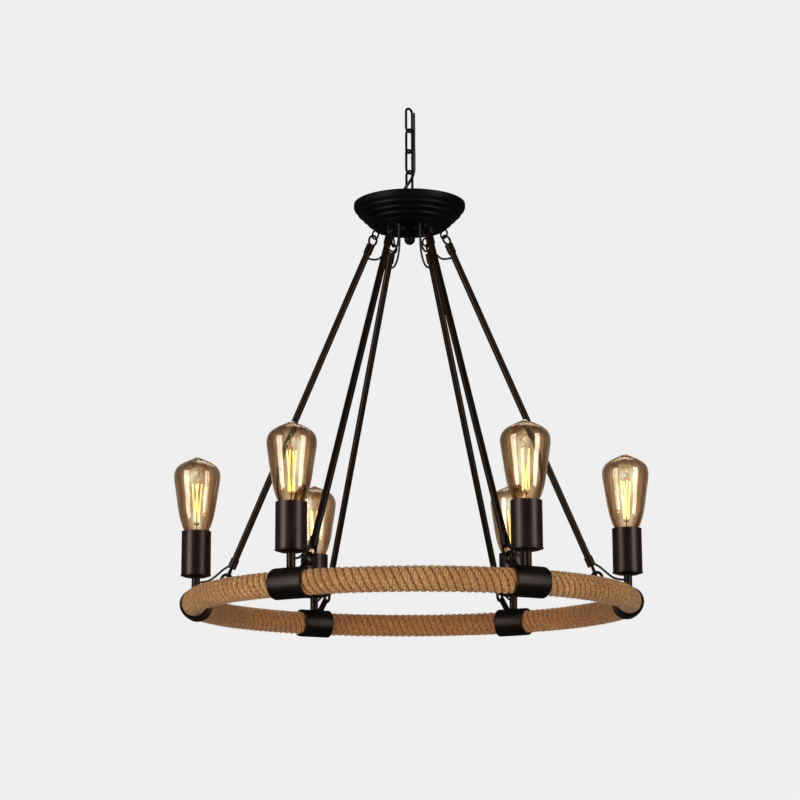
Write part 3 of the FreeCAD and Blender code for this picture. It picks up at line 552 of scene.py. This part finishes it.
def supply_flex():
    """The flex beside the chain, in two pieces, cut at the middle of the second link."""
    line = cord_curve("flex_line", FLEX_ROUTE, FLEX_DIAMETER, 24)
    whole = as_mesh(line, "flex_whole")
    centre = centre_points(line)
    drop(line)
    upper = half_of_flex("supply_flex_upper", whole, True)
    lower = half_of_flex("supply_flex_lower", whole, False)
    bend_flex(upper)
    bend_flex(lower)


leads("lamp_lead", "lamp_leads", LAMP_LEAD_ROUTE)
leads("hub_lead", "hub_leads", HUB_LEAD_ROUTE)
supply_flex()


# Rope

STRANDS = 4
STRAND_RADIUS = 0.0058
STRAND_CENTRE = 0.0108
WRAP_TURNS = 7.6
WRAP_START = 0.0085
POINTS_A_TURN = 12

# The yarns' turns in a strand, and how far the grooves between them cut in, as a share of its radius.
YARN_TURNS = 20
YARN_DEPTH = 0.035

# How far a strand strays: along the ring, to and from the tube, and in its thickness.
STRAY_ALONG = 0.00035
STRAY_RATE = 17
STRAY_OUT = 0.00018
STRAY_THICK = 0.018

GROOVE_RADIUS = 0.0151
GROOVE_SIDES = 40
GROOVE_STEPS = 60

HAIRS = 1500
HAIR_RADIUS = 0.00007
HAIR_LENGTHS = (0.0018, 0.0025, 0.0032, 0.0055)
HAIR_FOOT = 0.0160
HAIR_STEPS = 3
# Radians round the rope for each metre of hair.
HAIR_CURL = 20
# The bands' half length and a little more, where no hair starts.
HAIR_MARGIN = 0.027


def strand_section():
    """The outline of one strand: a ring of yarns with shallow grooves in between."""
    curve = bpy.data.curves.new("strand_section", "CURVE")
    curve.dimensions = "2D"
    steps = YARNS * 4
    spline = add_spline(curve, "POLY", steps)
    for step, corner in enumerate(spline.points):
        angle = math.tau * step / steps
        reach = STRAND_RADIUS * (1 - YARN_DEPTH + YARN_DEPTH * math.cos(YARNS * angle))
        corner.co = (reach * math.cos(angle), reach * math.sin(angle), 0, 1)
    spline.use_cyclic_u = True
    return show("strand_section", curve)


def ring_point(along, turn, reach):
    """A point round the ring tube: along the ring in metres, round the tube in radians."""
    angle = along / RING_RADIUS
    out = RING_RADIUS + reach * math.cos(turn)
    return Vector((out * math.cos(angle), out * math.sin(angle), RING_LEVEL + reach * math.sin(turn)))


def strand_point(strand, share, sway):
    """Where a strand is at this share of its way from one band into the next."""
    along = WRAP_START + (BAY_LENGTH - 2 * WRAP_START) * share
    along += STRAY_ALONG * math.sin(sway + STRAY_RATE * share) * math.sin(math.pi * share)
    turn = math.tau * (strand / STRANDS - WRAP_TURNS * share)
    # A quadratic curve runs inside its points by this share on a circle.
    inside = 0.75 + 0.25 * math.cos(math.tau / POINTS_A_TURN)
    reach = STRAND_CENTRE / inside + random.uniform(-STRAY_OUT, STRAY_OUT)
    return ring_point(along, turn, reach)


def wrap_line(section):
    """Four strands wound side by side from one band into the next."""
    curve = new_curve("wrap_line", 7)
    curve.bevel_mode = "OBJECT"
    curve.bevel_object = section
    curve.use_fill_caps = True
    curve.twist_mode = "MINIMUM"
    count = int(WRAP_TURNS * POINTS_A_TURN)
    for strand in range(STRANDS):
        spline = add_spline(curve, "NURBS", count + 1)
        sway = random.uniform(0, math.tau)
        for step, corner in enumerate(spline.points):
            share = step / count
            corner.co = (*strand_point(strand, share, sway), 1)
            corner.tilt = math.tau * YARN_TURNS * share
            corner.radius = 1 + random.uniform(-STRAY_THICK, STRAY_THICK)
        make_flow(spline)
    return show("wrap_line", curve)


def groove_filling(name):
    """A plain tube that leaves the grooves between the strands shallow."""
    form = bmesh.new()
    made = bmesh.ops.create_circle(form, segments=GROOVE_SIDES, radius=GROOVE_RADIUS)
    inset = WRAP_START / RING_RADIUS
    stand = Matrix.Translation((RING_RADIUS, 0, RING_LEVEL)) @ Matrix.Rotation(math.pi / 2, 4, "X")
    bmesh.ops.transform(form, matrix=Matrix.Rotation(inset, 4, "Z") @ stand, verts=made["verts"])
    bmesh.ops.spin(form, geom=form.verts[:] + form.edges[:], cent=(0, 0, 0), axis=UP, steps=GROOVE_STEPS,
                   angle=math.tau / LAMPS - 2 * inset, use_merge=False, use_duplicate=False)
    bmesh.ops.recalc_face_normals(form, faces=form.faces)
    return to_mesh(form, name)


def hair_line():
    """Loose hairs that stand off the rope, as one curve of many short ones."""
    curve = new_curve("hair_line", 1)
    curve.bevel_depth = HAIR_RADIUS
    curve.bevel_resolution = 0
    for _ in range(HAIRS):
        spline = add_spline(curve, "POLY", HAIR_STEPS + 1)
        along = random.uniform(HAIR_MARGIN, BAY_LENGTH - HAIR_MARGIN)
        turn = random.uniform(0, math.tau)
        span = random.choice(HAIR_LENGTHS) * random.uniform(0.7, 1.2)
        lift = random.uniform(0.15, 0.8)
        heading = random.uniform(-1, 1)
        bend = random.uniform(-0.6, 0.6)
        for step, corner in enumerate(spline.points):
            share = step / HAIR_STEPS
            reach = HAIR_FOOT + span * lift * share * (1.2 - 0.4 * share)
            aside = span * (heading * share + bend * share * share)
            corner.co = (*ring_point(along + aside, turn - span * share * HAIR_CURL, reach), 1)
            corner.radius = 1 - 0.75 * share
    return show("hair_line", curve)


def rope():
    """Strands, hairs and filling between each two lamps, all made at the first and turned to their own."""
    section = strand_section()
    for index in range(LAMPS):
        line = wrap_line(section)
        strands = as_mesh(line, nth("rope", index))
        drop(line)
        hairs = hair_line()
        fuzz = as_mesh(hairs, nth("rope_hairs", index))
        drop(hairs)
        filling = groove_filling(nth("rope_filling", index))
        # The filling's dark finish is painted shade between the strands.
        for data, material in ((strands, YARN), (filling, GROOVE), (fuzz, HAIR)):
            data.transform(lamp_turn(index))
            data.materials.clear()
            dress(show(data.name, data), "chandelier", "rope", nth("rope_wrap", index), material)
    drop(section)


rope()


# Bulbs: an outline's points are (radius, height over the foot of its piece)

GLASS_OUTLINE = [
    (0.01190, 0.00000),
    (0.01195, 0.00300),
    (0.01232, 0.00618),
    (0.01344, 0.01088),
    (0.01520, 0.01656),
    (0.01760, 0.02200),
    (0.02016, 0.02806),
    (0.02384, 0.04054),
    (0.02656, 0.05562),
    (0.02816, 0.06674),
    (0.03002, 0.07910),
    (0.03190, 0.09357),
    (0.03120, 0.10160),
    (0.02864, 0.10691),
    (0.02461, 0.11099),
    (0.01920, 0.11458),
    (0.01280, 0.11767),
    (0.00640, 0.12051),
    (0.00256, 0.12249),
    (0.00000, 0.12350),
]
GLASS_WALL = 0.0009
GLASS_SIDES = 72
GLASS_STEPS = 4


def eased(before, start, end, after, share):
    """A value between start and end on a smooth line that also heads for its neighbours."""
    rate_in = (end - before) / 2
    rate_out = (after - start) / 2
    gap = end - start
    return (start + rate_in * share + (3 * gap - 2 * rate_in - rate_out) * share ** 2
            + (rate_in + rate_out - 2 * gap) * share ** 3)


def flowing(points, steps):
    """More points on a smooth line through the given ones."""
    line = []
    ends = [points[0]] + points + [points[-1]]
    for near in zip(ends, ends[1:], ends[2:], ends[3:]):
        for step in range(steps):
            radius, height = (eased(*values, step / steps) for values in zip(*near))
            line.append((max(radius, 0), height))
    return line + [points[-1]]


def bulb_glass(index):
    skin = show("glass_skin", to_mesh(lathe(flowing(GLASS_OUTLINE, GLASS_STEPS), GLASS_SIDES), "glass_skin"))
    wall = skin.modifiers.new("wall", "SOLIDIFY")
    wall.thickness = GLASS_WALL
    wall.offset = -1
    mesh = as_mesh(skin, nth("lamp_glass", index))
    drop(skin)
    mesh.transform(lamp_place(index) @ Matrix.Translation((0, 0, GLASS_FOOT)))
    smooth(mesh)
    dress(show(mesh.name, mesh), nth("bulb", index), "amber_glass", nth("bulb_glass", index), GLASS)


STEM_OUTLINE = [
    (0.0108, 0.0000),
    (0.0108, 0.0014),
    (0.0080, 0.0035),
    (0.0044, 0.0072),
    (0.0034, 0.0120),
    (0.0031, 0.0240),
    (0.0036, 0.0275),
    (0.0030, 0.0296),
    (0.0000, 0.0302),
]
STEM_SIDES = 24

# The mast runs from inside the stem to just over the sticks.
MAST_FOOT = STEM_FOOT + 0.018
MAST_TOP = FILAMENT_TOP + 0.0015
MAST_RADIUS = 0.00045
MAST_SIDES = 10

# The lit sticks lean from a small star of wires up to a wider one.
STICKS = 4
STICK_RADIUS = 0.00095
STICK_SIDES = 12
STICK_TWIST = 1.1
LOW_STAR_REACH = 0.0040
TOP_STAR_REACH = 0.0066
LOW_STAR_HUB = FILAMENT_FOOT - 0.003
TOP_STAR_HUB = FILAMENT_TOP + 0.001
STAR_WIRE = 0.0003

# A sleeve holds each end of a stick, which starts a little inside it.
SLEEVE_RADIUS = 0.0005
SLEEVE_LENGTH = 0.0030
STICK_INSET = 0.0028

# A curl of wire over the sticks.
HOOK_WIRE = 0.0009
HOOK_REACH = 0.0028
HOOK_TURN = 7
HOOK_HEIGHT = 0.018
HOOK_STEPS = 8
BALL_RADIUS = 0.0016

# Material numbers in the filament's mesh, after the stem's glass.
IN_WIRE = 1
IN_GLOW = 2


def hook_points():
    points = []
    for step in range(HOOK_STEPS + 1):
        share = step / HOOK_STEPS
        turn = share * HOOK_TURN
        points.append(Vector((HOOK_REACH * math.sin(turn), HOOK_REACH * math.cos(turn) - HOOK_REACH,
                              FILAMENT_TOP + HOOK_HEIGHT * share)))
    return points


def bulb_filament(index):
    """A glass stem with a wire mast, two wire stars, and the lit sticks between the stars."""
    form = lathe(STEM_OUTLINE, STEM_SIDES)
    bmesh.ops.translate(form, vec=(0, 0, STEM_FOOT), verts=form.verts)
    wires = list(stick_between(form, (0, 0, MAST_FOOT), (0, 0, MAST_TOP), MAST_RADIUS, MAST_SIDES))
    for number in range(STICKS):
        angle = (number + 0.5) * math.tau / STICKS
        foot = Matrix.Rotation(angle, 4, "Z") @ Vector((LOW_STAR_REACH, 0, FILAMENT_FOOT))
        tip = Matrix.Rotation(angle + STICK_TWIST, 4, "Z") @ Vector((TOP_STAR_REACH, 0, FILAMENT_TOP))
        way = (tip - foot).normalized()
        wires += stick_between(form, (0, 0, LOW_STAR_HUB), foot, STAR_WIRE)
        wires += stick_between(form, (0, 0, TOP_STAR_HUB), tip, STAR_WIRE)
        wires += stick_between(form, foot, foot + way * SLEEVE_LENGTH, SLEEVE_RADIUS)
        wires += stick_between(form, tip - way * SLEEVE_LENGTH, tip, SLEEVE_RADIUS)
        stick = stick_between(form, foot + way * STICK_INSET, tip - way * STICK_INSET, STICK_RADIUS,
                              STICK_SIDES)
        set_material(form, stick, IN_GLOW)
    hook = hook_points()
    for start, end in zip(hook, hook[1:]):
        wires += stick_between(form, start, end, HOOK_WIRE)
    set_material(form, wires, IN_WIRE)
    ball = bmesh.ops.create_icosphere(form, subdivisions=2, radius=BALL_RADIUS,
                                      matrix=Matrix.Translation((0, 0, FILAMENT_TOP + BALL_RADIUS)))
    set_material(form, ball["verts"], IN_WIRE)
    mesh = to_mesh(form, nth("lamp_filament", index))
    mesh.transform(lamp_place(index))
    dress(show(mesh.name, mesh), nth("bulb", index), "filament", nth("bulb_filament", index),
          STEM, WIRE, GLOW)


THREAD_PITCH = 0.00363
THREAD_RIDGES = 4
THREAD_FOOT = 0.0062
THREAD_CREST = 0.0130
THREAD_ROOT = 0.0120
# The thread is rounded by this much beside its crest and its root.
THREAD_ROUND = 0.0002
CAP_SIDES = 48
CONTACT_SIDES = 24

COLLAR_OUTLINE = [
    (0.0118, 0.0205),
    (0.0126, 0.0212),
    (0.0128, 0.0226),
    (0.0128, 0.0246),
    (0.0124, 0.0249),
    (0.0121, 0.0245),
    (0.0121, 0.0205),
    (0.0118, 0.0205),
]
SKIRT_OUTLINE = [
    (0.0119, 0.0100),
    (0.0119, 0.0230),
]
INSULATOR_OUTLINE = [
    (0.0119, 0.0105),
    (0.0121, 0.0070),
    (0.0112, 0.0055),
    (0.0074, 0.0036),
    (0.0049, 0.0017),
    (0.0040, 0.0016),
    (0.0000, 0.0016),
]
CONTACT_OUTLINE = [
    (0.0046, 0.0018),
    (0.0044, 0.0009),
    (0.0030, 0.0001),
    (0.0000, 0.0000),
]


def thread_outline():
    """Ridge over ridge, with each height as a share of the pitch."""
    ridge = [
        (0.15, THREAD_ROOT + THREAD_ROUND),
        (0.36, THREAD_CREST - THREAD_ROUND),
        (0.50, THREAD_CREST),
        (0.64, THREAD_CREST - THREAD_ROUND),
        (0.85, THREAD_ROOT + THREAD_ROUND),
        (1.00, THREAD_ROOT),
    ]
    outline = [(THREAD_ROOT, 0.0)]
    for number in range(THREAD_RIDGES):
        outline += [(radius, (number + share) * THREAD_PITCH) for share, radius in ridge]
    return outline


def bulb_cap(index):
    """A screw cap: rolled thread, black insulator and a solder contact."""
    thread = lathe(thread_outline(), CAP_SIDES, THREAD_PITCH)
    bmesh.ops.translate(thread, vec=(0, 0, THREAD_FOOT), verts=thread.verts)
    finishes = [BRASS, INSULATOR, ZINC]
    parts = (
        (thread, BRASS),
        (lathe(COLLAR_OUTLINE, CAP_SIDES), BRASS),
        (lathe(SKIRT_OUTLINE, CAP_SIDES), BRASS),
        (lathe(INSULATOR_OUTLINE, CAP_SIDES), INSULATOR),
        (lathe(CONTACT_OUTLINE, CONTACT_SIDES), ZINC),
    )
    whole = bmesh.new()
    for part, material in parts:
        set_material(part, part.verts, finishes.index(material))
        part_mesh = to_mesh(part, "cap_part")
        whole.from_mesh(part_mesh)
        bpy.data.meshes.remove(part_mesh)
    mesh = to_mesh(whole, nth("lamp_cap", index))
    mesh.transform(lamp_place(index) @ Matrix.Translation((0, 0, CAP_FOOT)))
    dress(show(mesh.name, mesh), nth("bulb", index) + "_cap", "cap_brass", nth("bulb_base", index),
          *finishes)


for index in range(LAMPS):
    bulb_glass(index)
    bulb_filament(index)
    bulb_cap(index)


# Finishes of the solids that show as they are

def each_lamp(stem):
    return [nth(stem, index) for index in range(LAMPS)]


def refinish(material, *nodes):
    for name in nodes:
        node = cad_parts[name]
        node.data.materials.clear()
        node.data.materials.append(material)


refinish(ENAMEL, "ring_tube", "lamp_posts", "rod_eyes", *each_lamp("band"), *each_lamp("rod"))
refinish(CUP_ENAMEL, *each_lamp("socket_cup"))
refinish(HUB_ENAMEL, "hub_pan", "hub_cover", "finial", "hub_loop", "hub_eye_bolts")
refinish(HUB_ENAMEL, "top_link", "second_link", "lower_links")
refinish(ZINC, "hub_nipple", "hub_eye_nuts")
refinish(PORCELAIN, "lampholders")
refinish(BRASS, "screw_shells")


# Floor, light and background

FLOOR_LEVEL = -1.75
FLOOR_RADIUS = 7.0


def floor():
    """A pale floor, which gloss sees as a dark one."""
    form = bmesh.new()
    bmesh.ops.create_circle(form, cap_ends=True, segments=96, radius=FLOOR_RADIUS)
    bmesh.ops.translate(form, vec=(0, 0, FLOOR_LEVEL), verts=form.verts)
    plane = show("floor", to_mesh(form, "floor", False))
    material, tree, shader = finish("pale_floor")
    speckle = grain(tree, object_place(tree), 3.0)
    feed(tree, shader, {
        "Base Color": ramp(tree, speckle, [(0.2, 0.80), (0.8, 0.84)]),
        "Roughness": 0.9,
    })
    dark = add(tree, "ShaderNodeBsdfDiffuse", {"Color": (0.05, 0.045, 0.04, 1)})
    in_gloss = add(tree, "ShaderNodeLightPath").outputs["Is Glossy Ray"]
    shown = add(tree, "ShaderNodeMixShader", {"Fac": in_gloss, 1: shader.outputs[0], 2: dark.outputs[0]})
    feed(tree, tree.nodes["Material Output"], {"Surface": shown.outputs[0]})
    plane.data.materials.append(material)


def background():
    """Pale for the camera and through glass, soft light on the lamp, and a dim room in gloss."""
    world = bpy.data.worlds.new("studio")
    bpy.context.scene.world = world
    world.use_nodes = True
    tree = world.node_tree
    tree.nodes.clear()
    rays = add(tree, "ShaderNodeLightPath").outputs
    seen = reckon(tree, "MAXIMUM", rays["Is Camera Ray"], rays["Is Transmission Ray"])
    plain = add(tree, "ShaderNodeBackground", {"Color": (0.863, 0.863, 0.863, 1), "Strength": 1.0})
    soft = add(tree, "ShaderNodeBackground", {"Color": (0.93, 0.95, 1.0, 1), "Strength": 0.34})
    dim = add(tree, "ShaderNodeBackground", {"Color": (1.0, 0.96, 0.92, 1), "Strength": 0.06})
    lit = add(tree, "ShaderNodeMixShader", {
        "Fac": rays["Is Glossy Ray"],
        1: soft.outputs[0],
        2: dim.outputs[0],
    })
    mixed = add(tree, "ShaderNodeMixShader", {"Fac": seen, 1: lit.outputs[0], 2: plain.outputs[0]})
    add(tree, "ShaderNodeOutputWorld", {"Surface": mixed.outputs[0]})


def softbox(name, place, aim_level, width, height, power, mirrored=True):
    """A rectangular lamp that points at the chandelier's axis."""
    light = bpy.data.lights.new(name, "AREA")
    light.shape = "RECTANGLE"
    light.size = width
    light.size_y = height
    light.energy = power
    lamp = show(name, light)
    lamp.location = place
    way = Vector((0, 0, aim_level)) - Vector(place)
    lamp.rotation_euler = way.to_track_quat("-Z", "Y").to_euler()
    lamp.visible_glossy = mirrored


floor()
background()
softbox("key_left", (-2.24, -1.68, -0.35), aim_level=-0.5, width=1.3, height=2.4, power=58)
softbox("fill_right", (2.24, -1.68, -0.35), aim_level=-0.5, width=1.1, height=2.4, power=44)
softbox("top_back", (0.2, 1.6, 1.6), aim_level=-0.4, width=1.6, height=1.2, power=34, mirrored=False)

bpy.context.scene.view_settings.view_transform = "Standard"
